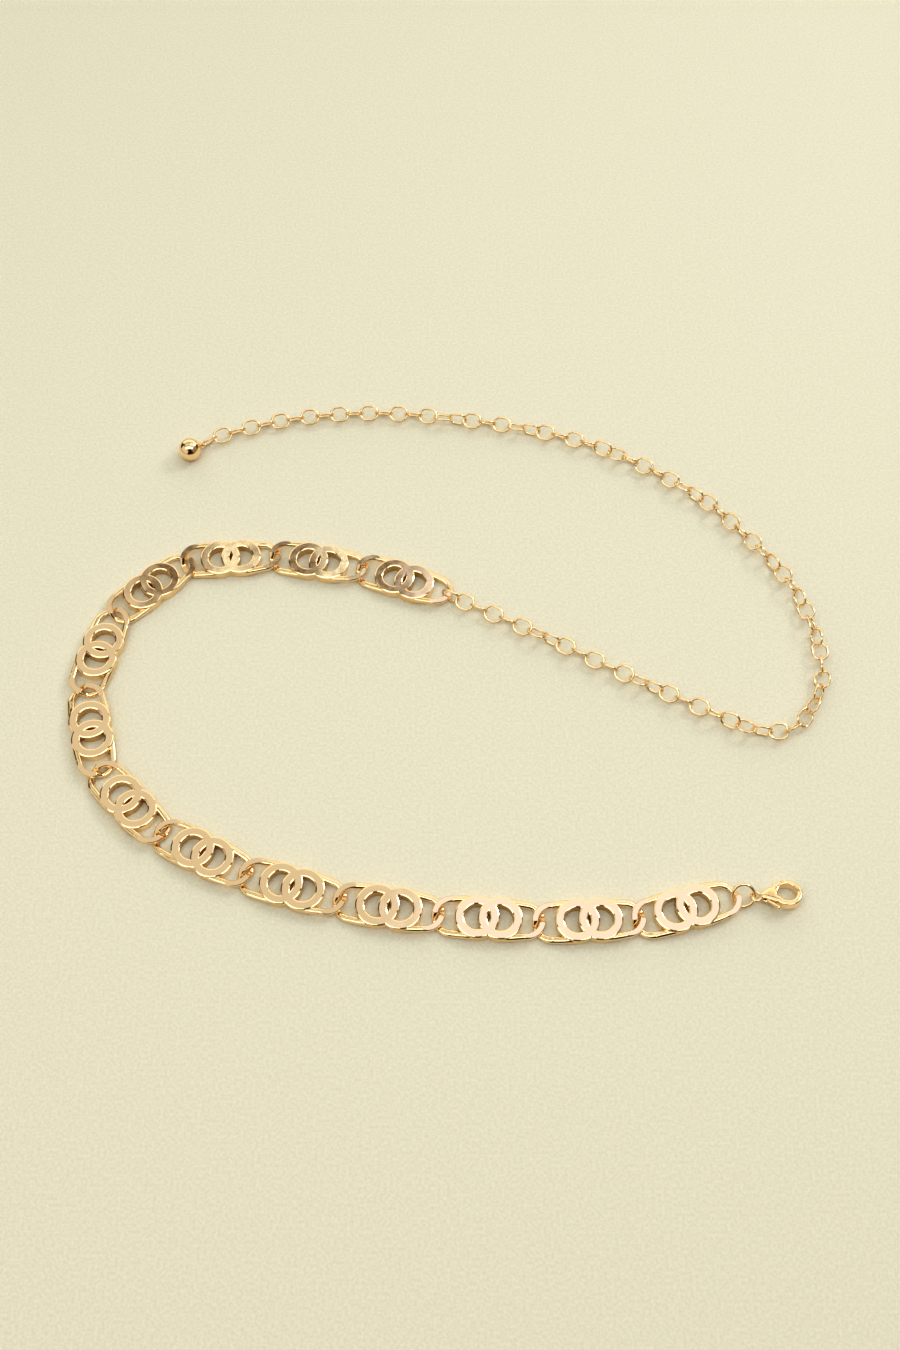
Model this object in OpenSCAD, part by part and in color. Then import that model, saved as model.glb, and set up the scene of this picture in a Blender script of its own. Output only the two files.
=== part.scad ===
// Waist chain lying on a table. The lowest points of the links rest on z = 0.
// X runs along the front row of big links, Y away from the viewer.

/* [Big links] */
// Length of a big link over its two end loops
link_len = 43.4; // [42:0.2:46]
// Height of a big link
link_h = 4; // [3.9:0.1:4.6]
// Outer diameter of the two flat rings of a link
ring_d = 17; // [16.4:0.1:18]
// Diameter of the hole in each flat ring
ring_hole_d = 9.8; // [9.2:0.1:10.4]
// Distance between the centres of the two flat rings
ring_gap = 8.8; // [8:0.1:9.4]
// Bevel on the top edge of the flat rings
ring_bevel = 0.35; // [0.1:0.05:0.5]
// Width of the bar of an end loop, seen from above
bar_w = 2.5; // [2:0.1:2.6]
// Thickness of the bar of an end loop
bar_t = 1.6; // [1.5:0.05:1.65]
// Bevel on the edges of the bar
bar_bevel = 0.5; // [0.4:0.05:0.65]
// Step from the top of the flat rings down to a high arm
arm_step = 0.4; // [0.2:0.1:0.6]
// Height of a low arm where it joins the flat rings
arm_foot_h = 3.2; // [2.6:0.1:3.4]
// Outer radius of the round end of an end loop
end_r = 7.7; // [7.5:0.1:8]
// Play between two hooked links when the chain is taut
link_play = 0.2; // [0.2:0.05:0.6]
// Angle on the end loop where the high side starts to dip
dip_from = -8; // [-12:1:-4]
// Angle on the end loop where the dip reaches the low side
dip_to = 22; // [14:1:24]

/* [Jump ring] */
// Outer diameter of the jump ring
jump_d = 9.4; // [9.2:0.1:10.4]
// Wire diameter of the jump ring
jump_wire = 0.95; // [0.8:0.05:1]
// Lean of the jump ring, far side up
jump_lean = 33; // [30:1:38]
// Gap between the jump ring and what it hooks
jump_gap = 0.3; // [0.25:0.05:0.4]

/* [Clasp] */
// Outer diameter of the hook
hook_d = 11.2; // [11:0.1:12]
// Diameter of the hook's opening
hook_hole_d = 7.5; // [7:0.1:7.7]
// Thickness of the clasp body
clasp_t = 3.2; // [3:0.1:3.6]
// Thickness of the gate of the lever
gate_t = 2.6; // [2.2:0.1:2.8]
// Thickness of the hub and thumb arm of the lever
lever_t = 1.4; // [1.2:0.1:1.5]
// Wire diameter of the clasp's tail eye
eye_wire = 1; // [0.8:0.05:1]
// Clear hole of the clasp's tail eye
eye_hole_d = 2.8; // [2.8:0.1:3.2]
// Diameter of the pivot pin
pin_d = 1; // [0.8:0.1:1.2]
// Gap round the pin and beside the lever
lever_gap = 0.15; // [0.1:0.05:0.2]
// Diameter of the ball on the thumb arm
thumb_ball_d = 1.6; // [1.4:0.1:1.8]
// Lean of the clasp, near side up
clasp_lean = 13; // [10:1:15]

/* [Tail chain] */
// Number of small links
tail_count = 78; // [60:1:80]
// Length of a small link
tail_len = 8.8; // [8.5:0.1:9.2]
// Width of a small link
tail_w = 7.2; // [6.8:0.1:7.4]
// Wire diameter of a small link
tail_wire = 0.9; // [0.7:0.05:1]
// Play between two small links
tail_play = 0.3; // [0.25:0.05:0.4]
// Gap between the first small link's end and the bar that it hooks
tail_hook_gap = 1; // [0.8:0.1:1.4]

/* [End ball] */
// Diameter of the ball
ball_d = 10; // [9:0.5:11]
// Wire diameter of the ball's eye
ball_eye_wire = 0.7; // [0.6:0.05:0.8]
// Clear hole of the ball's eye
ball_eye_hole_d = 1.5; // [1.4:0.1:1.8]

/* [Hidden] */
metal = "#d8a583";
round_fn = 64;

bar_r = end_r - bar_w / 2;
end_x = link_len / 2 - end_r;
link_pitch = link_len - 2 * bar_w - link_play;
bar_high = link_h - bar_t / 2 - 0.02;
bar_low = bar_t / 2;
arm_in_x = ring_gap / 2 + 0.5;
arm_in_y = (ring_d + ring_hole_d) / 4 + 0.3;

// Lay of the big links, from the tail chain to the clasp.
HEADING = 0;
SLACK = 1;
SHIFT = 2;
lay_start = [-19.4, 34.3];
lay = [
  [161, 0.1, 0.2],
  [170, 0.2, 0],
  [184, 0.3, 0.3],
  [223, 0.3, 0],
  [256, 0.2, 0.5],
  [284, 0.2, 0.5],
  [314, 0.2, 1],
  [333, 0.2, 0],
  [344, 0.1, 0],
  [351, 0.1, 0],
  [356, 0.2, -0.5],
  [363, 0.6, -1.2],
  [375, 0, 0]
];

function dir(a) = [cos(a), sin(a)];
function left_of(v) = [-v[1], v[0]];
function unit(v) = v / norm(v);
function turned(p, a) = p[0] * dir(a) + p[1] * left_of(dir(a));
function step_to_next(i) =
  let (w = dir(lay[i][HEADING]) + dir(lay[i + 1][HEADING]), n = unit(w))
  w * link_pitch / 2 - n * lay[i][SLACK] + left_of(n) * lay[i][SHIFT];
link_at = [for (i = 0, p = lay_start; i < len(lay);
  p = i < len(lay) - 1 ? p + step_to_next(i) : p, i = i + 1) p];
last_link = len(lay) - 1;
function on_link(i, p) = link_at[i] + turned(p, lay[i][HEADING]);

// Route of the tail chain, seen from above, after its first joint.
route = [
  [37.9, 6.9], [73.8, -12.9], [109.1, -31.1], [121, -36.7],
  [127.3, -38.4], [132.9, -38.4], [138.4, -36.6], [143.9, -32],
  [149.1, -22.6], [152.2, -16.8], [152.8, -10.3], [152.8, 2.8],
  [150.1, 15.6], [146.1, 28.7], [139.3, 40.8], [131.6, 51.8],
  [122.9, 62.4], [114.2, 72.7], [97.6, 85.9], [80.6, 96.8],
  [62.1, 105.9], [43.1, 112.1], [23.2, 116.6], [3.4, 119.7],
  [-16.7, 122.3], [-37.1, 123.1], [-57.4, 121.7], [-76.2, 118.6],
  [-95.7, 112.9], [-107.2, 108.1], [-116, 99.7], [-126, 90], [-160, 60]
];

// Turn of each small link on the one before it, in runs.
COUNT = 0;
TURN = 1;
roll_runs = [
  [1, 120], [1, 60], [4, 90], [3, 60], [4, 90], [3, 60], [2, 90], [12, 75],
  [9, 60], [4, 90], [3, 60], [3, 90], [3, 60], [3, 90], [3, 60], [2, 90], [3, 60],
  [18, 90]
];

tail_pitch = tail_len - 2 * tail_wire - tail_play;
tail_z = tail_w / 2;
tail_bend_r = (tail_w - tail_wire) / 2;
tail_bend_x = tail_len / 2 - tail_w / 2;
tail_hook_angle = lay[0][HEADING] + 180 - 14;
tail_hook_r = end_r - bar_w - tail_hook_gap;
tail_start = on_link(0, [-end_x, 0]) + tail_hook_r * dir(tail_hook_angle);

function curve(a, b, c, d, t) =
  0.5 * (2 * b + (c - a) * t + (2 * a - 5 * b + 4 * c - d) * t * t
  + (3 * b - a - 3 * c + d) * t * t * t);
way = concat([tail_start - 10 * dir(tail_hook_angle), tail_start], route);
way_steps = 10;
way_pts = [for (i = [1 : len(way) - 3]) for (k = [0 : way_steps - 1])
  curve(way[i - 1], way[i], way[i + 1], way[i + 2], k / way_steps)];
way_len = [for (i = 0, s = 0; i < len(way_pts);
  s = i < len(way_pts) - 1 ? s + norm(way_pts[i + 1] - way_pts[i]) : s, i = i + 1) s];
way_x = [for (i = [0 : len(way_pts) - 1]) [way_len[i], way_pts[i][0]]];
way_y = [for (i = [0 : len(way_pts) - 1]) [way_len[i], way_pts[i][1]]];
tail_joint = [for (i = [0 : tail_count])
  [lookup(i * tail_pitch, way_x), lookup(i * tail_pitch, way_y), tail_z]];
roll_steps = [for (r = roll_runs) for (k = [1 : r[COUNT]]) r[TURN]];
roll_sum = [for (i = 0, s = roll_steps[0]; i < tail_count;
  i = i + 1, s = s + (i < len(roll_steps) ? roll_steps[i] : 90)) s];
to_viewer = [0, -0.485, 0.875];
function tail_u(i) = unit(tail_joint[i + 1] - tail_joint[i]);
function tail_n(i) = cross([0, 0, 1], tail_u(i));
function tail_roll(i) = roll_sum[i] + atan2(to_viewer * tail_n(i), to_viewer[2]);
function tail_normal(i) = cos(tail_roll(i)) * [0, 0, 1] + sin(tail_roll(i)) * tail_n(i);

// A small link as a closed wire of flat-sided tube.
tail_stations = [-75, -45, -15, 15, 45, 75, 105, 135, 165, 195, 225, 255];
tail_sides = 5;
function station_at(a) =
  [(a < 90 ? tail_bend_x : -tail_bend_x) + tail_bend_r * cos(a), tail_bend_r * sin(a)];
function tail_link_pts(i) =
  let (mid = (tail_joint[i] + tail_joint[i + 1]) / 2)
  let (u = tail_u(i), nrm = tail_normal(i), s = cross(nrm, u))
  [for (a = tail_stations) for (k = [0 : tail_sides - 1])
    let (p = station_at(a), out = cos(a) * u + sin(a) * s, g = 360 * k / tail_sides)
    mid + p[0] * u + p[1] * s + tail_wire / 2 * (cos(g) * out + sin(g) * nrm)];
function ring_faces(rings, sides, start) =
  [for (j = [0 : rings - 1]) for (k = [0 : sides - 1])
    let (a = start + j * sides, b = start + (j + 1) % rings * sides, m = (k + 1) % sides)
    each [[a + k, a + m, b + k], [a + m, b + m, b + k]]];

// Stations of an end loop's bar: place, facing, height of its middle, half its thickness.
arc_stations = [-90, -70, -50, -30, dip_from, dip_from / 2 + dip_to / 6, dip_to / 3 + 2,
  dip_to * 0.7, dip_to, 40, 57, 74, 90];
function smooth(t) = t <= 0 ? 0 : t >= 1 ? 1 : t * t * (3 - 2 * t);
function bar_mid(a) =
  bar_high + (bar_low - bar_high) * smooth((a - dip_from) / (dip_to - dip_from));
bar_path = concat(
  [[arm_in_x, -arm_in_y, -90, bar_high - arm_step, bar_t / 2]],
  [for (a = arc_stations)
    [end_x + bar_r * cos(a), bar_r * sin(a), a, bar_mid(a), bar_t / 2]],
  [[arm_in_x, arm_in_y, 90, arm_foot_h / 2, arm_foot_h / 2]]
);
function octagon(w, t, c) = [
  [w - c, -t], [w, c - t], [w, t - c], [w - c, t],
  [c - w, t], [-w, t - c], [-w, c - t], [c - w, -t]
];
bar_sides = 8;
bar_pts = [for (s = bar_path) for (q = octagon(bar_w / 2, s[4], bar_bevel))
  [s[0] + q[0] * cos(s[2]), s[1] + q[0] * sin(s[2]), s[3] + q[1]]];
bar_faces = concat(
  [[for (k = [bar_sides - 1 : -1 : 0]) k]],
  [for (j = [0 : len(bar_path) - 2]) for (k = [0 : bar_sides - 1])
    let (a = j * bar_sides, b = a + bar_sides, m = (k + 1) % bar_sides)
    each [[a + k, a + m, b + k], [a + m, b + m, b + k]]],
  [[for (k = [0 : bar_sides - 1]) (len(bar_path) - 1) * bar_sides + k]]
);

module end_loop() {
  polyhedron(points = bar_pts, faces = bar_faces, convexity = 4);
}

module flat_ring() {
  outer = ring_d / 2;
  rotate_extrude($fn = round_fn)
    polygon([
      [ring_hole_d / 2, 0],
      [outer, 0],
      [outer, link_h - ring_bevel],
      [outer - ring_bevel, link_h],
      [ring_hole_d / 2, link_h]
    ]);
}

module big_link(i) {
  color(metal)
    translate([link_at[i][0], link_at[i][1], 0])
      rotate([0, 0, lay[i][HEADING]]) {
        translate([-ring_gap / 2, 0, 0]) flat_ring();
        translate([ring_gap / 2, 0, 0]) flat_ring();
        end_loop();
        rotate([0, 0, 180]) end_loop();
      }
}

// The clasp lies in its own frame: tail eye at the origin, hook towards X.
hook_at = [11.8, 1];
mouth_at = [11.9, 1.3];
pivot_at = [5.6, 1];
hub_r = 1.7;
cheek_r = 2.3;
slot_r = 2.5;
gate_tip_r = 6.4;
gate_to = 172;
eye_ring_r = (eye_hole_d + eye_wire) / 2;
jump_ring_r = (jump_d - jump_wire) / 2;
clasp_z = (hook_at[1] + hook_d / 2) * sin(clasp_lean) + clasp_t / 2 * cos(clasp_lean) + 0.01;
jump_hook_angle = lay[last_link][HEADING] + 3;
jump_in_r = end_r - bar_w - jump_gap - jump_wire / 2;
jump_at = on_link(last_link, [end_x, 0]) + jump_in_r * dir(jump_hook_angle) + [jump_ring_r, 0];
clasp_side_angle = 5;
clasp_reach = jump_ring_r * cos(clasp_side_angle) - (jump_wire + eye_wire) / 2 - jump_gap;
clasp_side = jump_ring_r * sin(clasp_side_angle);
clasp_at = jump_at + [clasp_reach + eye_ring_r, -clasp_side * cos(jump_lean)];
jump_z = clasp_z + clasp_side * sin(jump_lean);

module at_clasp() {
  translate([clasp_at[0], clasp_at[1], clasp_z])
    rotate([-clasp_lean, 0, 0])
      children();
}

module sector(centre, from, to) {
  reach = 14;
  mid = (from + to) / 2;
  translate(centre)
    polygon([
      [0, 0],
      reach * dir(from),
      reach * dir((from + mid) / 2),
      reach * dir(mid),
      reach * dir((mid + to) / 2),
      reach * dir(to)
    ]);
}

module disc(centre, r, t) {
  translate([centre[0], centre[1], 0])
    cylinder(r = r, h = t, center = true, $fn = round_fn);
}

module plate(pts, t) {
  linear_extrude(t, center = true) polygon(pts);
}

module clasp_body() {
  color(metal)
    at_clasp() {
      rotate_extrude($fn = round_fn)
        translate([eye_ring_r, 0])
          circle(d = eye_wire, $fn = 32);
      difference() {
        union() {
          difference() {
            disc(hook_at, hook_d / 2, clasp_t);
            disc(mouth_at, hook_hole_d / 2, clasp_t + 1);
            linear_extrude(clasp_t + 1, center = true) {
              sector(hook_at, 125, 206);
              intersection() {
                translate(pivot_at) circle(r = gate_tip_r + lever_gap, $fn = round_fn);
                sector(hook_at, 90, 206);
              }
            }
          }
          disc(pivot_at, cheek_r, clasp_t);
          plate([[1.6, -0.6], [2.4, -1.2], [5.2, -2.2], [7.6, -3.1], [8.6, -2.6],
            [9.2, -0.9], [8.3, -0.45], [5.6, 0.9], [4.2, 2.7], [2.4, 1.3], [1.6, 0.6]], clasp_t);
        }
        disc(pivot_at, slot_r, lever_t + 2 * lever_gap);
        plate([[2.5, 1], [2.5, -6], [10, -6], [8.9, -4.4], [5.1, -1.3], [7, 1]],
          lever_t + 2 * lever_gap);
      }
      disc(pivot_at, pin_d / 2, clasp_t - 0.2);
    }
}

module clasp_lever() {
  color(metal)
    at_clasp() {
      difference() {
        union() {
          difference() {
            linear_extrude(gate_t, center = true)
              intersection() {
                difference() {
                  union() {
                    intersection() {
                      translate(hook_at) circle(d = hook_d, $fn = round_fn);
                      sector(hook_at, 90, gate_to);
                    }
                    polygon([[4.2, 2.9], [9.5, 5.8], [9.5, 3.6], [8, 1.7], [5.6, 1]]);
                  }
                  translate(mouth_at) circle(d = hook_hole_d, $fn = round_fn);
                }
                translate(pivot_at) circle(r = gate_tip_r, $fn = round_fn);
              }
            disc(pivot_at, slot_r, gate_t + 1);
          }
          plate([[4.4, 2.1], [7.2, 4.3], [8.8, 3.1], [8.1, 1.5], [7, 0.7], [5.6, 1]], lever_t);
          disc(pivot_at, hub_r, lever_t);
          plate([[4.6, 0.4], [3.7, -0.9], [3.9, -1.9], [7.4, -4.9], [8, -4.3], [4.9, -1.6],
            [5.2, -0.6], [5.6, 0.4]], lever_t);
          translate([7.8, -4.9, 0]) sphere(d = thumb_ball_d, $fn = 32);
        }
        disc(pivot_at, pin_d / 2 + lever_gap, gate_t + 1);
      }
    }
}

module jump_ring() {
  color(metal)
    translate([jump_at[0], jump_at[1], jump_z])
      rotate([jump_lean, 0, 0])
        rotate_extrude($fn = round_fn)
          translate([jump_ring_r, 0])
            circle(d = jump_wire, $fn = 32);
}

module tail_chain() {
  color(metal)
    polyhedron(
      points = [for (i = [0 : tail_count - 1]) each tail_link_pts(i)],
      faces = [for (i = [0 : tail_count - 1])
        each ring_faces(len(tail_stations), tail_sides, i * len(tail_stations) * tail_sides)],
      convexity = 10
    );
}

ball_eye_r = (ball_eye_hole_d + ball_eye_wire) / 2;
ball_eye_x = ball_eye_r - ball_eye_wire / 2 - 0.1;
ball_x = ball_eye_x + ball_eye_r + ball_d / 2 - 0.4;
module end_ball() {
  last = tail_count - 1;
  u = tail_u(last);
  color(metal)
    translate(tail_joint[tail_count])
      rotate([0, 0, atan2(u[1], u[0])]) {
        translate([ball_x, 0, ball_d / 2 - tail_z]) sphere(d = ball_d, $fn = round_fn);
        translate([ball_eye_x, 0, 0])
          rotate([90 - tail_roll(last), 0, 0])
            rotate_extrude($fn = round_fn)
              translate([ball_eye_r, 0])
                circle(d = ball_eye_wire, $fn = 32);
      }
}

big_link(0);  // decor_link_01
big_link(1);  // decor_link_02
big_link(2);  // decor_link_03
big_link(3);  // decor_link_04
big_link(4);  // decor_link_05
big_link(5);  // decor_link_06
big_link(6);  // decor_link_07
big_link(7);  // decor_link_08
big_link(8);  // decor_link_09
big_link(9);  // decor_link_10
big_link(10);  // decor_link_11
big_link(11);  // decor_link_12
big_link(12);  // decor_link_13
jump_ring();
clasp_body();
clasp_lever();
tail_chain();
end_ball();
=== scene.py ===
import math

import bmesh
import bpy
from mathutils import Matrix, Vector


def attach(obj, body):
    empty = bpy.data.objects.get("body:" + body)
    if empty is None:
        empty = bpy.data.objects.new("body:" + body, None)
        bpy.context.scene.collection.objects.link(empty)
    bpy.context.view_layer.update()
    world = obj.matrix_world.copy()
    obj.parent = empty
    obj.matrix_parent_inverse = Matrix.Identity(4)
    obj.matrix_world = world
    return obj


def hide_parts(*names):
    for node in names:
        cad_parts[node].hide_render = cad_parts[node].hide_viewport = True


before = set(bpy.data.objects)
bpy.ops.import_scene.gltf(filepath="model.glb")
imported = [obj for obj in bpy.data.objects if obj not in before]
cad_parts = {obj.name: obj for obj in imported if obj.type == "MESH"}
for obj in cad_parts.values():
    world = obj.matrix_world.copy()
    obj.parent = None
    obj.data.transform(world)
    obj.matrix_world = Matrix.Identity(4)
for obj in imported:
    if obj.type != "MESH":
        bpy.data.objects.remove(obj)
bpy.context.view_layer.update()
MM = 0.001

# ---------------------------------------------------------------- camera

CAM_ELEVATION = 61
CAM_AT = (0, -0.3203, 0.5593)
CAM_LENS = 41.33
CAM_SENSOR = 36


def make_camera():
    data = bpy.data.cameras.new("camera")
    data.sensor_width = CAM_SENSOR
    data.lens = CAM_LENS
    data.clip_start = 0.01
    data.clip_end = 20
    data.dof.use_dof = False
    ob = bpy.data.objects.new("camera", data)
    ob.location = CAM_AT
    ob.rotation_euler = (math.radians(90 - CAM_ELEVATION), 0, 0)
    bpy.context.scene.collection.objects.link(ob)
    bpy.context.scene.camera = ob


make_camera()

# ---------------------------------------------------------------- sizes in mm, angles in degrees

# As in the CAD source.
LINK_LEN = 43.4
LINK_H = 4
RING_R = 8.5
HOLE_R = 4.9
RING_X = 4.4
BAR_W = 2.5
END_R = 7.7
LINK_PLAY = 0.2
DIP_FROM = -8
DIP_TO = 22
ARM_STEP = 0.4
ARM_FOOT_H = 3.2
JUMP_D = 9.4
JUMP_WIRE = 0.95
JUMP_LEAN = 33
JUMP_GAP = 0.3
JUMP_TURN = 3
HOOK_AT = Vector((11.8, 1))
HOOK_D = 11.2
CLASP_T = 3.2
CLASP_LEAN = 13
CLASP_LIFT = 0.01
CLASP_SIDE_ANGLE = 5
THUMB_BALL_D = 1.6
THUMB_BALL_AT = (7.8, -4.9, 0)
EYE_WIRE = 1
EYE_HOLE_D = 2.8
TAIL_COUNT = 78
TAIL_LEN = 8.8
TAIL_W = 7.2
TAIL_WIRE = 0.9
TAIL_PLAY = 0.3
TAIL_HOOK_GAP = 1
TAIL_TURN = 14
TAIL_LEAD = 10
BALL_D = 10
BALL_EYE_WIRE = 0.7
BALL_EYE_HOLE_D = 1.5
BALL_EYE_PLAY = 0.1
BALL_EYE_SUNK = 0.4

# Shown a little larger or rounder than in the CAD source.
RING_BEVEL = 0.56
BAR_T = 1.85
JUMP_WIRE_SHOWN = 1.2
EYE_WIRE_SHOWN = EYE_WIRE + 0.2
TAIL_WIRE_SHOWN = 1

BAR_R = END_R - BAR_W / 2
END_X = LINK_LEN / 2 - END_R
LINK_PITCH = LINK_LEN - 2 * BAR_W - LINK_PLAY

# Heading, slack and sideways shift of each big link.
LAY_START = (-19.4, 34.3)
LAY = [
    (161, 0.1, 0.2),
    (170, 0.2, 0),
    (184, 0.3, 0.3),
    (223, 0.3, 0),
    (256, 0.2, 0.5),
    (284, 0.2, 0.5),
    (314, 0.2, 1),
    (333, 0.2, 0),
    (344, 0.1, 0),
    (351, 0.1, 0),
    (356, 0.2, -0.5),
    (363, 0.6, -1.2),
    (375, 0, 0),
]
# The tail chain's way after link 1.
ROUTE = [
    (37.9, 6.9), (73.8, -12.9), (109.1, -31.1), (121, -36.7),
    (127.3, -38.4), (132.9, -38.4), (138.4, -36.6), (143.9, -32),
    (149.1, -22.6), (152.2, -16.8), (152.8, -10.3), (152.8, 2.8),
    (150.1, 15.6), (146.1, 28.7), (139.3, 40.8), (131.6, 51.8),
    (122.9, 62.4), (114.2, 72.7), (97.6, 85.9), (80.6, 96.8),
    (62.1, 105.9), (43.1, 112.1), (23.2, 116.6), (3.4, 119.7),
    (-16.7, 122.3), (-37.1, 123.1), (-57.4, 121.7), (-76.2, 118.6),
    (-95.7, 112.9), (-107.2, 108.1), (-116, 99.7), (-126, 90), (-160, 60),
]
# How many small links in a row are each turned by this much from the one before.
ROLL_RUNS = [
    (1, 120), (1, 60), (4, 90), (3, 60), (4, 90), (3, 60), (2, 90), (12, 75),
    (9, 60), (4, 90), (3, 60), (3, 90), (3, 60), (3, 90), (3, 60), (2, 90), (3, 60),
    (18, 90),
]


def cos(a):
    return math.cos(math.radians(a))


def sin(a):
    return math.sin(math.radians(a))


def angle_of(x, y):
    return math.degrees(math.atan2(y, x))


def smooth(t):
    return 0 if t <= 0 else 1 if t >= 1 else t * t * (3 - 2 * t)


def turned(a, axis):
    return Matrix.Rotation(math.radians(a), 4, axis)


def heading(a):
    return Vector((cos(a), sin(a)))


def left_of(v):
    return Vector((-v.y, v.x))


def lay_links():
    places = [Vector(LAY_START)]
    for (h, slack, shift), (h_next, _, _) in zip(LAY, LAY[1:]):
        w = heading(h) + heading(h_next)
        n = w.normalized()
        places.append(places[-1] + w * LINK_PITCH / 2 - n * slack + left_of(n) * shift)
    return places


LINK_AT = lay_links()


def end_loop_centre(i, side):
    """The centre of big link i's end loop, side -1 or 1."""
    return LINK_AT[i] + heading(LAY[i][0]) * side * END_X


# ---------------------------------------------------------------- mesh helpers


def tube(bm, rings, closed=False):
    """A skin over rings of points in mm, with flat ends unless it closes on itself."""
    made = [[bm.verts.new(Vector(p) * MM) for p in ring] for ring in rings]
    n = len(made[0])
    pairs = list(zip(made, made[1:]))
    if closed:
        pairs.append((made[-1], made[0]))
    for a, b in pairs:
        for k in range(n):
            m = (k + 1) % n
            bm.faces.new((a[k], a[m], b[m], b[k]))
    if not closed:
        bm.faces.new(made[0])
        bm.faces.new(list(reversed(made[-1])))


def circle(sides):
    return [360 * k / sides for k in range(sides)]


def torus(bm, place, r, wire, around=64, sides=16, gap=0):
    """A wire ring in the XY plane of place; gap is the open angle of a cut ring."""
    rings = []
    steps = around if gap == 0 else around + 1
    for j in range(steps):
        a = gap / 2 + (360 - gap) * j / around
        ring = []
        for g in circle(sides):
            out = r + wire / 2 * cos(g)
            ring.append(place @ Vector((out * cos(a), out * sin(a), wire / 2 * sin(g))))
        rings.append(ring)
    tube(bm, rings, closed=gap == 0)


def ball(bm, place, d, around, up):
    made = bmesh.ops.create_uvsphere(bm, u_segments=around, v_segments=up, radius=d / 2)
    bmesh.ops.transform(bm, matrix=Matrix.Scale(MM, 4) @ place, verts=made["verts"])


def fill(bm, edges):
    """Fills the loops of edges, with their holes, and returns the new faces."""
    made = bmesh.ops.triangle_fill(bm, use_beauty=True, use_dissolve=False, edges=edges)
    return [f for f in made["geom"] if isinstance(f, bmesh.types.BMFace)]


def finish_mesh(bm, name, sharp_angle=32):
    """Points the faces outwards, shades them smooth and keeps filed faces and edges crisp."""
    bmesh.ops.recalc_face_normals(bm, faces=bm.faces)
    for f in bm.faces:
        f.smooth = True
    limit = math.radians(sharp_angle)
    for e in bm.edges:
        if len(e.link_faces) != 2:
            continue
        filed = [f.material_index == TOP_SLOT for f in e.link_faces]
        if filed[0] != filed[1] or e.calc_face_angle(0) > limit:
            e.smooth = False
    mesh = bpy.data.meshes.new(name)
    bm.to_mesh(mesh)
    bm.free()
    return mesh


def add_piece(mesh, name, body, node, materials):
    ob = bpy.data.objects.new(name, mesh)
    bpy.context.scene.collection.objects.link(ob)
    for m in materials:
        mesh.materials.append(m)
    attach(ob, body)
    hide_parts(node)


# ---------------------------------------------------------------- materials


def node_material(name):
    mat = bpy.data.materials.new(name)
    mat.use_nodes = True
    nodes = mat.node_tree.nodes
    return mat, nodes, mat.node_tree.links, nodes["Principled BSDF"]


def add_noise(nodes, links, vector, scale, detail):
    noise = nodes.new("ShaderNodeTexNoise")
    noise.inputs["Scale"].default_value = scale
    noise.inputs["Detail"].default_value = detail
    links.new(vector, noise.inputs["Vector"])
    return noise.outputs["Fac"]


def add_ramp(nodes, links, value, stops):
    """A blend of two colours, each with its place along the value."""
    ramp = nodes.new("ShaderNodeValToRGB")
    for element, (place, colour) in zip(ramp.color_ramp.elements, stops):
        element.position = place
        element.color = (*colour, 1)
    links.new(value, ramp.inputs["Fac"])
    return ramp.outputs["Color"]


def add_bump(nodes, links, height, strength, distance):
    bump = nodes.new("ShaderNodeBump")
    bump.inputs["Strength"].default_value = strength
    bump.inputs["Distance"].default_value = distance
    links.new(height, bump.inputs["Height"])
    return bump


DRIFT_SCALE = 90
POLISH_SCALE = 400
SWAY_SCALE = 75
GRAIN_DEPTH = 0.00002


def gold(name, light, dark, rough, grain_scale, grain, seed, wave=0):
    """Rose-gold plating with soft colour drift, uneven polish, fine scratches and a slow wave."""
    mat, nodes, links, bsdf = node_material(name)
    coord = nodes.new("ShaderNodeTexCoord")
    shift = nodes.new("ShaderNodeMapping")
    shift.inputs["Location"].default_value = (seed, seed * 0.37, seed * 0.71)
    links.new(coord.outputs["Object"], shift.inputs["Vector"])
    place = shift.outputs["Vector"]

    drift = add_noise(nodes, links, place, DRIFT_SCALE, 3)
    tint = add_ramp(nodes, links, drift, [(0.3, dark), (0.7, light)])
    links.new(tint, bsdf.inputs["Base Color"])

    polish = nodes.new("ShaderNodeMapRange")
    polish.inputs["From Min"].default_value = 0.3
    polish.inputs["From Max"].default_value = 0.7
    polish.inputs["To Min"].default_value = rough[0]
    polish.inputs["To Max"].default_value = rough[1]
    links.new(add_noise(nodes, links, place, POLISH_SCALE, 4), polish.inputs["Value"])
    links.new(polish.outputs["Result"], bsdf.inputs["Roughness"])

    swell = add_bump(nodes, links, add_noise(nodes, links, place, SWAY_SCALE, 1), 1, wave)
    fine = add_noise(nodes, links, place, grain_scale, 5)
    scratches = add_bump(nodes, links, fine, grain, GRAIN_DEPTH)
    links.new(swell.outputs["Normal"], scratches.inputs["Normal"])
    links.new(scratches.outputs["Normal"], bsdf.inputs["Normal"])

    bsdf.inputs["Metallic"].default_value = 1
    return mat


PAPER_SCALE = 900
PAPER_DARK = (0.835, 0.79, 0.655)
PAPER_LIGHT = (0.905, 0.865, 0.725)


def paper(name):
    """Cream card with a fine tooth."""
    mat, nodes, links, bsdf = node_material(name)
    place = nodes.new("ShaderNodeTexCoord").outputs["Object"]
    mottle = add_noise(nodes, links, place, PAPER_SCALE, 6)
    tint = add_ramp(nodes, links, mottle, [(0.35, PAPER_DARK), (0.65, PAPER_LIGHT)])
    links.new(tint, bsdf.inputs["Base Color"])
    tooth = add_bump(nodes, links, add_noise(nodes, links, place, PAPER_SCALE, 4), 0.25, 0.0003)
    links.new(tooth.outputs["Normal"], bsdf.inputs["Normal"])
    bsdf.inputs["Roughness"].default_value = 0.85
    bsdf.inputs["Specular IOR Level"].default_value = 0.2
    return mat


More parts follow.
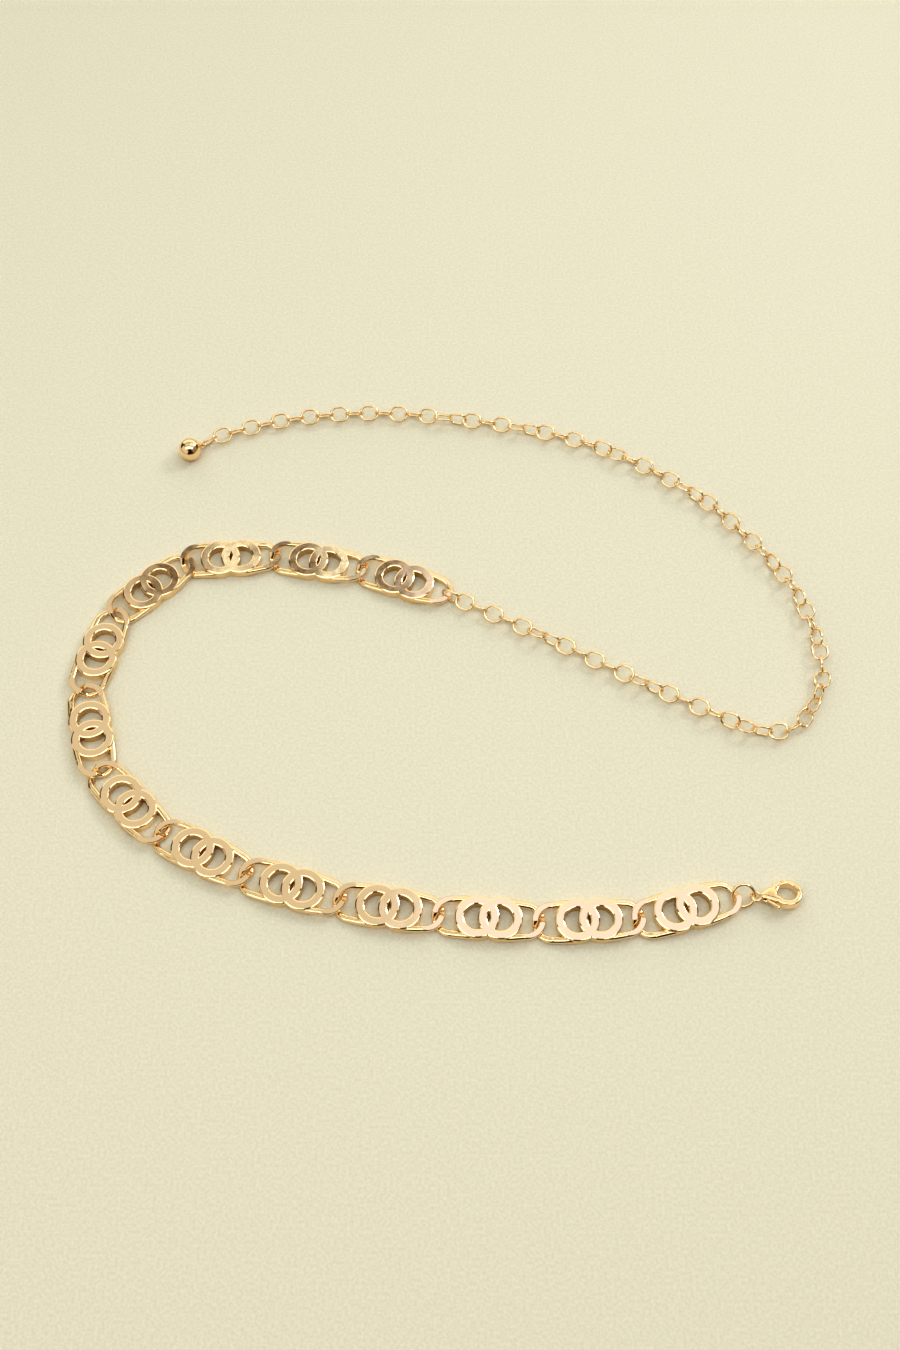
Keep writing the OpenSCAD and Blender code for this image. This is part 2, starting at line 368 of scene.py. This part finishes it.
FILED = gold(
    "rose_gold_filed", (0.985, 0.725, 0.50), (0.97, 0.70, 0.475),
    rough=(0.08, 0.14), grain_scale=2500, grain=0.12, seed=1.3, wave=0.00016,
)
CAST = gold(
    "rose_gold_cast", (0.985, 0.775, 0.49), (0.965, 0.735, 0.44),
    rough=(0.05, 0.12), grain_scale=1400, grain=0.15, seed=4.1, wave=0.00002,
)
# Painted shade: a darker, rougher gold on the lower walls of the ring holes, standing in for the
# shade that falls inside them.
HOLE_WALL_SHADE = gold(
    "rose_gold_hole_wall_shade", (0.74, 0.52, 0.25), (0.64, 0.43, 0.19),
    rough=(0.22, 0.34), grain_scale=1400, grain=0.3, seed=5.9,
)
# Painted light and shade: the narrow lens hole's lower walls get a rough orange gold, darker than
# the open metal and lighter than the other hole walls, standing in for the light that bounces
# inside it.
LENS_WALL_LIGHT_AND_SHADE = gold(
    "rose_gold_lens_light_and_shade", (0.96, 0.66, 0.38), (0.9, 0.6, 0.33),
    rough=(0.4, 0.5), grain_scale=1400, grain=0.3, seed=2.3,
)
WIRE = gold(
    "rose_gold_wire", (0.985, 0.775, 0.49), (0.965, 0.735, 0.44),
    rough=(0.05, 0.12), grain_scale=1800, grain=0.12, seed=7.7,
)

# A big link's materials and the places of all but the first in its slots.
# The third material is gold with painted shade for the hole walls, the fourth gold with painted
# light and shade for the lens hole's walls.
LINK_MATERIALS = [CAST, FILED, HOLE_WALL_SHADE, LENS_WALL_LIGHT_AND_SHADE]
TOP_SLOT, HOLE_WALL_SHADE_SLOT, LENS_WALL_PAINTED_SLOT = 1, 2, 3

# ---------------------------------------------------------------- a big link's flat rings

# Where the lens-shaped hole is among the loops of plate_loops().
LENS_HOLE = 3


def arc(x, r, a0, a1, steps):
    """Points on a circle about (x, 0) from angle a0 towards a1, without the last one."""
    angles = [a0 + (a1 - a0) * k / steps for k in range(steps)]
    return [(x + r * cos(a), r * sin(a)) for a in angles]


def plate_loops(inset):
    """The outline of the two overlapping rings and its three holes, moved into the metal."""
    outer, hole = RING_R - inset, HOLE_R + inset
    notch = angle_of(RING_X, math.sqrt(outer**2 - RING_X**2))
    outline = arc(-RING_X, outer, notch, 360 - notch, 56)
    outline += arc(RING_X, outer, notch - 180, 180 - notch, 56)

    x = (hole**2 - outer**2) / (4 * RING_X)
    y = math.sqrt(hole**2 - (x + RING_X) ** 2)
    own = angle_of(x + RING_X, y)
    other = angle_of(x - RING_X, y)
    left = arc(-RING_X, hole, own, 360 - own, 44) + arc(RING_X, outer, 360 - other, other, 24)
    right = [(-px, -py) for px, py in left]

    tip = angle_of(RING_X, math.sqrt(hole**2 - RING_X**2))
    lens = arc(-RING_X, hole, -tip, tip, 16) + arc(RING_X, hole, 180 - tip, 180 + tip, 16)
    return [outline, left, right, lens]


def plate_profile():
    """Inset and height from the underside up to the filed top."""
    low = [(0.2, 0), (0, 0.2)]
    edge = [(0, 0.5), (0.03, 0.3), (0.09, 0.19), (0.16, 0.15)]
    return low + [(inset, LINK_H - drop) for inset, drop in edge] + [(RING_BEVEL, LINK_H)]


def plate_level(bm, inset, z):
    loops = plate_loops(inset)
    return [[bm.verts.new((x * MM, y * MM, z * MM)) for x, y in loop] for loop in loops]


def add_plate(bm):
    levels = [plate_level(bm, inset, z) for inset, z in plate_profile()]
    for j, (a, b) in enumerate(zip(levels, levels[1:])):
        for hole, (la, lb) in enumerate(zip(a, b)):
            n = len(la)
            for k in range(n):
                m = (k + 1) % n
                f = bm.faces.new((la[k], la[m], lb[m], lb[k]))
                # The lower walls of the holes get the gold with painted shade; the lens hole's
                # walls get the gold with painted light and shade.
                if hole and j < 2:
                    f.material_index = LENS_WALL_PAINTED_SLOT if hole == LENS_HOLE else HOLE_WALL_SHADE_SLOT
    for level, slot in ((levels[0], 0), (levels[-1], TOP_SLOT)):
        edges = []
        for loop in level:
            for k in range(len(loop)):
                edges.append(bm.edges.get((loop[k], loop[(k + 1) % len(loop)])))
        for f in fill(bm, edges):
            f.material_index = slot


# ---------------------------------------------------------------- a big link's end loops

# The bar's section: its sides, its squareness (2 is round) and how far its rounding goes.
BAR_SIDES = 28
BAR_SQUARENESS = 2.2
BAR_ROUNDING = 0.85
# Both arms run from inside the plate to where the bar turns.
ARM_STATIONS = 20
ARM_IN_X = RING_X + 0.5
ARM_START_Y = 7.2
# The high side is filed flat here, just under the plate's top.
FILED_TOP = LINK_H - 0.02
# How much the bar stands over that, so that filing leaves a flat, along its high side.
FILED_OFF = 0.3
FILED_SHARE_AT_ARM = 0.25
FILED_GROWS_OVER = 40
FILED_ENDS_FROM = DIP_FROM - 4
FILED_ENDS_OVER = 16
# Towards the plate, the high arm's top sinks and its underside comes down.
HIGH_ARM_SINKS_FROM_X = 13
HIGH_ARM_SINK = ARM_STEP * 1.3
HIGH_ARM_FOOT_X = 6
HIGH_ARM_FOOT_LEN = 8
# The low arm is taller and wider than the bar's end, and has a foot at the plate.
LOW_ARM_RISE = 0.6
LOW_ARM_WIDER = 0.3
LOW_ARM_FROM = 40
LOW_ARM_START_Y = ARM_START_Y - LOW_ARM_WIDER
LOW_ARM_FOOT_X = 6
LOW_ARM_FOOT_LEN = 9


def low_share(a):
    return smooth((a - LOW_ARM_FROM) / (90 - LOW_ARM_FROM))


def bar_span(a):
    """Underside and unfiled top of the bar at angle a of the end loop."""
    t = smooth((a - DIP_FROM) / (DIP_TO - DIP_FROM))
    under = (FILED_TOP - BAR_T) * (1 - t)
    filed = min(1, FILED_SHARE_AT_ARM + (a + 90) / FILED_GROWS_OVER)
    filed *= 1 - smooth((a - FILED_ENDS_FROM) / FILED_ENDS_OVER)
    return under, under + BAR_T + FILED_OFF * filed + LOW_ARM_RISE * low_share(a)


def bar_stations():
    """Place, facing, underside and top along an end loop, from the high arm to the low one."""
    high, low = [], []
    high_under, high_top = bar_span(-90)
    high_top -= FILED_OFF * FILED_SHARE_AT_ARM
    low_top = BAR_T + LOW_ARM_RISE
    for k in range(ARM_STATIONS):
        t = k / ARM_STATIONS
        x = ARM_IN_X + (END_X - ARM_IN_X) * t
        y = ARM_START_Y + (BAR_R - ARM_START_Y) * t * t
        sunk = max(0, (HIGH_ARM_SINKS_FROM_X - x) / (HIGH_ARM_SINKS_FROM_X - ARM_IN_X))
        under = high_under * smooth((x - HIGH_ARM_FOOT_X) / HIGH_ARM_FOOT_LEN)
        high.append((x, -y, -90, under, high_top - sunk * HIGH_ARM_SINK))
        y = LOW_ARM_START_Y + (BAR_R - LOW_ARM_START_Y) * t * t
        foot = 1 - smooth((x - LOW_ARM_FOOT_X) / LOW_ARM_FOOT_LEN)
        low.append((x, y, 90, 0, low_top + (ARM_FOOT_H - low_top) * foot))
    around = [
        (END_X + BAR_R * cos(a), BAR_R * sin(a), a, *bar_span(a)) for a in range(-90, 91, 3)
    ]
    return high + around + low[::-1]


def bar_section():
    """Points round the bar: how far out in mm, and how far up from -1 to 1."""
    pts = []
    for k in range(BAR_SIDES):
        a = 360 * (k + 0.5) / BAR_SIDES
        c, s = cos(a), sin(a)
        out = BAR_W / 2 * math.copysign(abs(c) ** (2 / BAR_SQUARENESS), c)
        pts.append((out, math.copysign(abs(s) ** (2 / BAR_SQUARENESS), s)))
    return pts


def end_loop_part(turn):
    """One end loop, its high side filed flat."""
    bm = bmesh.new()
    section = bar_section()
    rings = []
    for x, y, a, low, top in bar_stations():
        cap = min(BAR_ROUNDING, (top - low) / 2)
        wider = LOW_ARM_WIDER * low_share(a)
        ring = []
        for out, up in section:
            w = out * (1 + wider / BAR_W) + wider / 2
            z = (top - cap if up > 0 else low + cap) + up * cap
            ring.append((x + w * cos(a), y + w * sin(a), z))
        rings.append(ring)
    tube(bm, rings)
    bmesh.ops.recalc_face_normals(bm, faces=bm.faces)
    cut = bmesh.ops.bisect_plane(
        bm,
        geom=bm.verts[:] + bm.edges[:] + bm.faces[:],
        plane_co=(0, 0, FILED_TOP * MM),
        plane_no=(0, 0, 1),
        clear_outer=True,
    )
    for f in fill(bm, [e for e in cut["geom_cut"] if isinstance(e, bmesh.types.BMEdge)]):
        f.material_index = TOP_SLOT
    bmesh.ops.rotate(bm, verts=bm.verts, matrix=turned(turn, "Z").to_3x3())
    mesh = bpy.data.meshes.new("end_loop_part")
    bm.to_mesh(mesh)
    bm.free()
    return mesh


def big_link_mesh():
    bm = bmesh.new()
    add_plate(bm)
    for turn in (0, 180):
        part = end_loop_part(turn)
        bm.from_mesh(part)
        bpy.data.meshes.remove(part)
    return finish_mesh(bm, "big_link")


def add_big_links():
    base = big_link_mesh()
    for i, (place, (h, _, _)) in enumerate(zip(LINK_AT, LAY), 1):
        mesh = base.copy()
        mesh.transform(Matrix.Translation((place.x * MM, place.y * MM, 0)) @ turned(h, "Z"))
        add_piece(mesh, f"big_link_{i:02d}", "chain", f"decor_link_{i:02d}", LINK_MATERIALS)
    bpy.data.meshes.remove(base)


add_big_links()

# ---------------------------------------------------------------- tail chain and ball

TAIL_PITCH = TAIL_LEN - 2 * TAIL_WIRE - TAIL_PLAY
TAIL_Z = TAIL_W / 2
TAIL_BEND_R = (TAIL_W - TAIL_WIRE_SHOWN) / 2
TAIL_BEND_X = TAIL_LEN / 2 - TAIL_W / 2
TAIL_RINGS = 40
TAIL_SIDES = 12
CURVE_STEPS = 10
LAST_TURNS = 90
TO_VIEWER = Vector((0, -0.485, 0.875))
UP = Vector((0, 0, 1))


def tail_curve():
    """A smooth curve from link 1's end loop through the route, as close points."""
    hook_dir = heading(LAY[0][0] + 180 - TAIL_TURN)
    start = end_loop_centre(0, -1) + hook_dir * (END_R - BAR_W - TAIL_HOOK_GAP)
    way = [start - hook_dir * TAIL_LEAD, start] + [Vector(p) for p in ROUTE]
    pts = []
    for a, b, c, d in zip(way, way[1:], way[2:], way[3:]):
        for k in range(CURVE_STEPS):
            t = k / CURVE_STEPS
            slope = (c - a) * t
            bend = (2 * a - 5 * b + 4 * c - d) * t * t
            pts.append(0.5 * (2 * b + slope + bend + (3 * b - a - 3 * c + d) * t**3))
    return pts


def tail_joints():
    """The points, one pitch apart along the curve, between which the small links lie."""
    pts = tail_curve()
    run = [0.0]
    for p, q in zip(pts, pts[1:]):
        run.append(run[-1] + (q - p).length)
    joints, k = [], 0
    for i in range(TAIL_COUNT + 1):
        s = i * TAIL_PITCH
        while run[k + 1] < s:
            k += 1
        t = (s - run[k]) / (run[k + 1] - run[k])
        p = pts[k].lerp(pts[k + 1], t)
        joints.append(Vector((p.x, p.y, TAIL_Z)))
    return joints


TAIL_JOINT = tail_joints()


def tail_axes(i):
    """Along, sideways and normal directions of small link i, and its roll."""
    turns = [turn for count, turn in ROLL_RUNS for _ in range(count)]
    turns += [LAST_TURNS] * TAIL_COUNT
    u = (TAIL_JOINT[i + 1] - TAIL_JOINT[i]).normalized()
    n = UP.cross(u)
    roll = sum(turns[: i + 1]) + angle_of(TO_VIEWER.z, TO_VIEWER.dot(n))
    normal = cos(roll) * UP + sin(roll) * n
    return u, normal.cross(u), normal, roll


def add_tail():
    bm = bmesh.new()
    for i in range(TAIL_COUNT):
        u, s, normal, _ = tail_axes(i)
        mid = (TAIL_JOINT[i] + TAIL_JOINT[i + 1]) / 2
        rings = []
        for k in range(TAIL_RINGS):
            a = -90 + 360 * k / TAIL_RINGS
            side = 1 if k < TAIL_RINGS / 2 else -1
            out = cos(a) * u + sin(a) * s
            at = mid + side * TAIL_BEND_X * u + TAIL_BEND_R * out
            rings.append([
                at + TAIL_WIRE_SHOWN / 2 * (cos(g) * out + sin(g) * normal)
                for g in circle(TAIL_SIDES)
            ])
        tube(bm, rings, closed=True)
    add_piece(finish_mesh(bm, "extender_links"), "extender_links", "chain", "tail_chain", [WIRE])


add_tail()


def add_end_ball():
    bm = bmesh.new()
    u, _, _, roll = tail_axes(TAIL_COUNT - 1)
    eye_r = (BALL_EYE_HOLE_D + BALL_EYE_WIRE) / 2
    eye_x = eye_r - BALL_EYE_WIRE / 2 - BALL_EYE_PLAY
    ball_x = eye_x + eye_r + BALL_D / 2 - BALL_EYE_SUNK
    place = Matrix.Translation(TAIL_JOINT[TAIL_COUNT]) @ turned(angle_of(u.x, u.y), "Z")
    ball(bm, place @ Matrix.Translation((ball_x, 0, BALL_D / 2 - TAIL_Z)), BALL_D, 72, 48)
    eye = place @ Matrix.Translation((eye_x, 0, 0)) @ turned(90 - roll, "X")
    torus(bm, eye, eye_r, BALL_EYE_WIRE)
    add_piece(finish_mesh(bm, "end_bead"), "end_bead", "chain", "end_ball", [CAST])


add_end_ball()

# ---------------------------------------------------------------- jump ring and clasp

EYE_R = (EYE_HOLE_D + EYE_WIRE) / 2
JUMP_R = (JUMP_D - JUMP_WIRE) / 2
JUMP_CUT = 1.6
JUMP_CUT_AT = 62
CLASP_Z = (HOOK_AT.y + HOOK_D / 2) * sin(CLASP_LEAN) + CLASP_T / 2 * cos(CLASP_LEAN) + CLASP_LIFT
CLASP_SIDE = JUMP_R * sin(CLASP_SIDE_ANGLE)
CLASP_REACH = JUMP_R * cos(CLASP_SIDE_ANGLE) - (JUMP_WIRE + EYE_WIRE) / 2 - JUMP_GAP


def jump_ring_centre():
    last = len(LAY) - 1
    out = heading(LAY[last][0] + JUMP_TURN)
    reach = END_R - BAR_W - JUMP_GAP - JUMP_WIRE / 2
    return end_loop_centre(last, 1) + out * reach + Vector((JUMP_R, 0))


JUMP_AT = jump_ring_centre()
JUMP_Z = CLASP_Z + CLASP_SIDE * sin(JUMP_LEAN)
CLASP_AT = JUMP_AT + Vector((CLASP_REACH + EYE_R, -CLASP_SIDE * cos(JUMP_LEAN)))
CLASP_PLACE = Matrix.Translation((CLASP_AT.x, CLASP_AT.y, CLASP_Z)) @ turned(-CLASP_LEAN, "X")


def add_jump_ring():
    bm = bmesh.new()
    place = Matrix.Translation((JUMP_AT.x, JUMP_AT.y, JUMP_Z)) @ turned(JUMP_LEAN, "X")
    place = place @ turned(JUMP_CUT_AT, "Z")
    torus(bm, place, JUMP_R, JUMP_WIRE_SHOWN, around=80, gap=JUMP_CUT)
    add_piece(finish_mesh(bm, "jump_ring_wire", 50), "jump_ring_wire", "chain", "jump_ring", [WIRE])


add_jump_ring()


def in_metres(place):
    """A placement in mm as one for meshes in metres."""
    return Matrix.Scale(MM, 4) @ place @ Matrix.Scale(1 / MM, 4)


def add_smoothing(ob, rounds):
    smoothing = ob.modifiers.new("smoothing", "SMOOTH")
    smoothing.factor = 0.5
    smoothing.iterations = rounds
    return smoothing


def cast_copy(node, name, body, voxel, swell, melt, dome, add_details):
    """The CAD solid with melted edges and domed faces, as a cast and tumbled piece has them."""
    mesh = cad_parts[node].data.copy()
    mesh.materials.clear()
    mesh.transform(in_metres(CLASP_PLACE.inverted()))
    ob = bpy.data.objects.new(name, mesh)
    bpy.context.scene.collection.objects.link(ob)
    remesh = ob.modifiers.new("remesh", "REMESH")
    remesh.mode = "VOXEL"
    remesh.voxel_size = voxel * MM
    grow = ob.modifiers.new("grow", "DISPLACE")
    grow.strength = swell * MM
    grow.mid_level = 0
    add_smoothing(ob, melt)
    crown = add_smoothing(ob, dome)
    crown.use_x = crown.use_y = False
    bpy.context.view_layer.update()
    evaluated = ob.evaluated_get(bpy.context.evaluated_depsgraph_get())
    done = bpy.data.meshes.new_from_object(evaluated)
    bpy.data.objects.remove(ob)
    done.transform(in_metres(CLASP_PLACE))
    bm = bmesh.new()
    bm.from_mesh(done)
    bpy.data.meshes.remove(done)
    add_details(bm)
    add_piece(finish_mesh(bm, name, 60), name, body, node, [CAST])


def add_clasp_eye(bm):
    torus(bm, CLASP_PLACE, EYE_R, EYE_WIRE_SHOWN)


def add_thumb_ball(bm):
    ball(bm, CLASP_PLACE @ Matrix.Translation(THUMB_BALL_AT), THUMB_BALL_D, 32, 20)


cast_copy(
    "clasp_body", "clasp_hook_body", "chain",
    voxel=0.12, swell=0.14, melt=25, dome=90, add_details=add_clasp_eye,
)
cast_copy(
    "clasp_lever", "clasp_gate", "clasp_lever",
    voxel=0.1, swell=0.1, melt=15, dome=40, add_details=add_thumb_ball,
)

# ---------------------------------------------------------------- floor and light, in metres

FLOOR_SIZE = 6
OVERHEAD_Z = 1
CREAM = (0.63, 0.73, 0.7)
SOFT = (1.95, 2.05, 2.05)
# Panels over the floor that face down: name, x from and to, y from and to, radiance.
OVERHEADS = [
    ("overhead_right", (-0.045, 1.1), (0.1, 0.84), (0.87, 1.05, 1.25)),
    ("overhead_left", (-1.0, -0.045), (0.1, 0.62), CREAM),
    ("overhead_back_1", (-0.15, -0.115), (0.6, 0.86), (1.25, 1.6, 1.65)),
    ("overhead_back_2", (-0.285, -0.23), (0.6, 0.86), (1.05, 1.28, 1.25)),
    ("overhead_back_3", (-1.0, -0.36), (0.62, 0.84), CREAM),
    ("softbox", (-0.9, 0.8), (-0.4, -0.03), SOFT),
    ("softbox_left", (-0.9, -0.06), (-0.6, -0.4), SOFT),
    ("softbox_right", (0.22, 0.8), (-0.6, -0.4), SOFT),
]
# Panels round the floor that face its middle: name, place, size, radiance.
SIDE_PANELS = [
    ("key", (1.3, 0.9, 1.2), (0.5, 0.5), (9, 9, 8.8)),
    ("back", (0, 1.7, 0.8), (4.2, 1.4), (1.15, 1.12, 1.0)),
    ("front_left", (-1.3, -0.75, 0.7), (2.6, 1.3), (0.8, 0.78, 0.72)),
    ("front_right", (1.4, -0.56, 0.7), (2.0, 1.3), (0.3, 0.29, 0.27)),
]
# The room is darkest against this direction.
ROOM_LEAN = (0.15, 0.6, 0.78)
ROOM_DARK = (0.04, 0.022, 0.008)
ROOM_LIGHT = (0.19, 0.14, 0.075)


def add_floor():
    bpy.ops.mesh.primitive_plane_add(size=FLOOR_SIZE, location=(0, 0, 0))
    floor = bpy.context.object
    floor.name = "floor"
    floor.data.materials.append(paper("cream_card"))


def add_panel(name, at, aim, size, colour):
    """A soft rectangular light; colour is its radiance."""
    peak = max(colour)
    data = bpy.data.lights.new(name, "AREA")
    data.shape = "RECTANGLE"
    data.size, data.size_y = size
    data.energy = peak * math.pi * size[0] * size[1]
    data.color = [c / peak for c in colour]
    ob = bpy.data.objects.new(name, data)
    ob.location = at
    ob.rotation_euler = (Vector(aim) - Vector(at)).to_track_quat("-Z", "Y").to_euler()
    bpy.context.scene.collection.objects.link(ob)


def studio_world():
    """A warm room, darkest low down on the camera's side."""
    world = bpy.data.worlds.new("studio")
    world.use_nodes = True
    nodes, links = world.node_tree.nodes, world.node_tree.links
    coord = nodes.new("ShaderNodeTexCoord")
    lean = nodes.new("ShaderNodeVectorMath")
    lean.operation = "DOT_PRODUCT"
    lean.inputs[1].default_value = ROOM_LEAN
    links.new(coord.outputs["Generated"], lean.inputs[0])
    colour = add_ramp(nodes, links, lean.outputs["Value"], [(0.1, ROOM_DARK), (0.75, ROOM_LIGHT)])
    links.new(colour, nodes["Background"].inputs["Color"])
    bpy.context.scene.world = world


def light_scene():
    studio_world()
    for name, (x0, x1), (y0, y1), colour in OVERHEADS:
        x, y = (x0 + x1) / 2, (y0 + y1) / 2
        add_panel(name, (x, y, OVERHEAD_Z), (x, y, 0), (x1 - x0, y1 - y0), colour)
    for name, at, size, colour in SIDE_PANELS:
        add_panel(name, at, (0, 0, 0), size, colour)


add_floor()
light_scene()
bpy.context.scene.view_settings.view_transform = "Standard"
bpy.context.scene.view_settings.gamma = 0.75
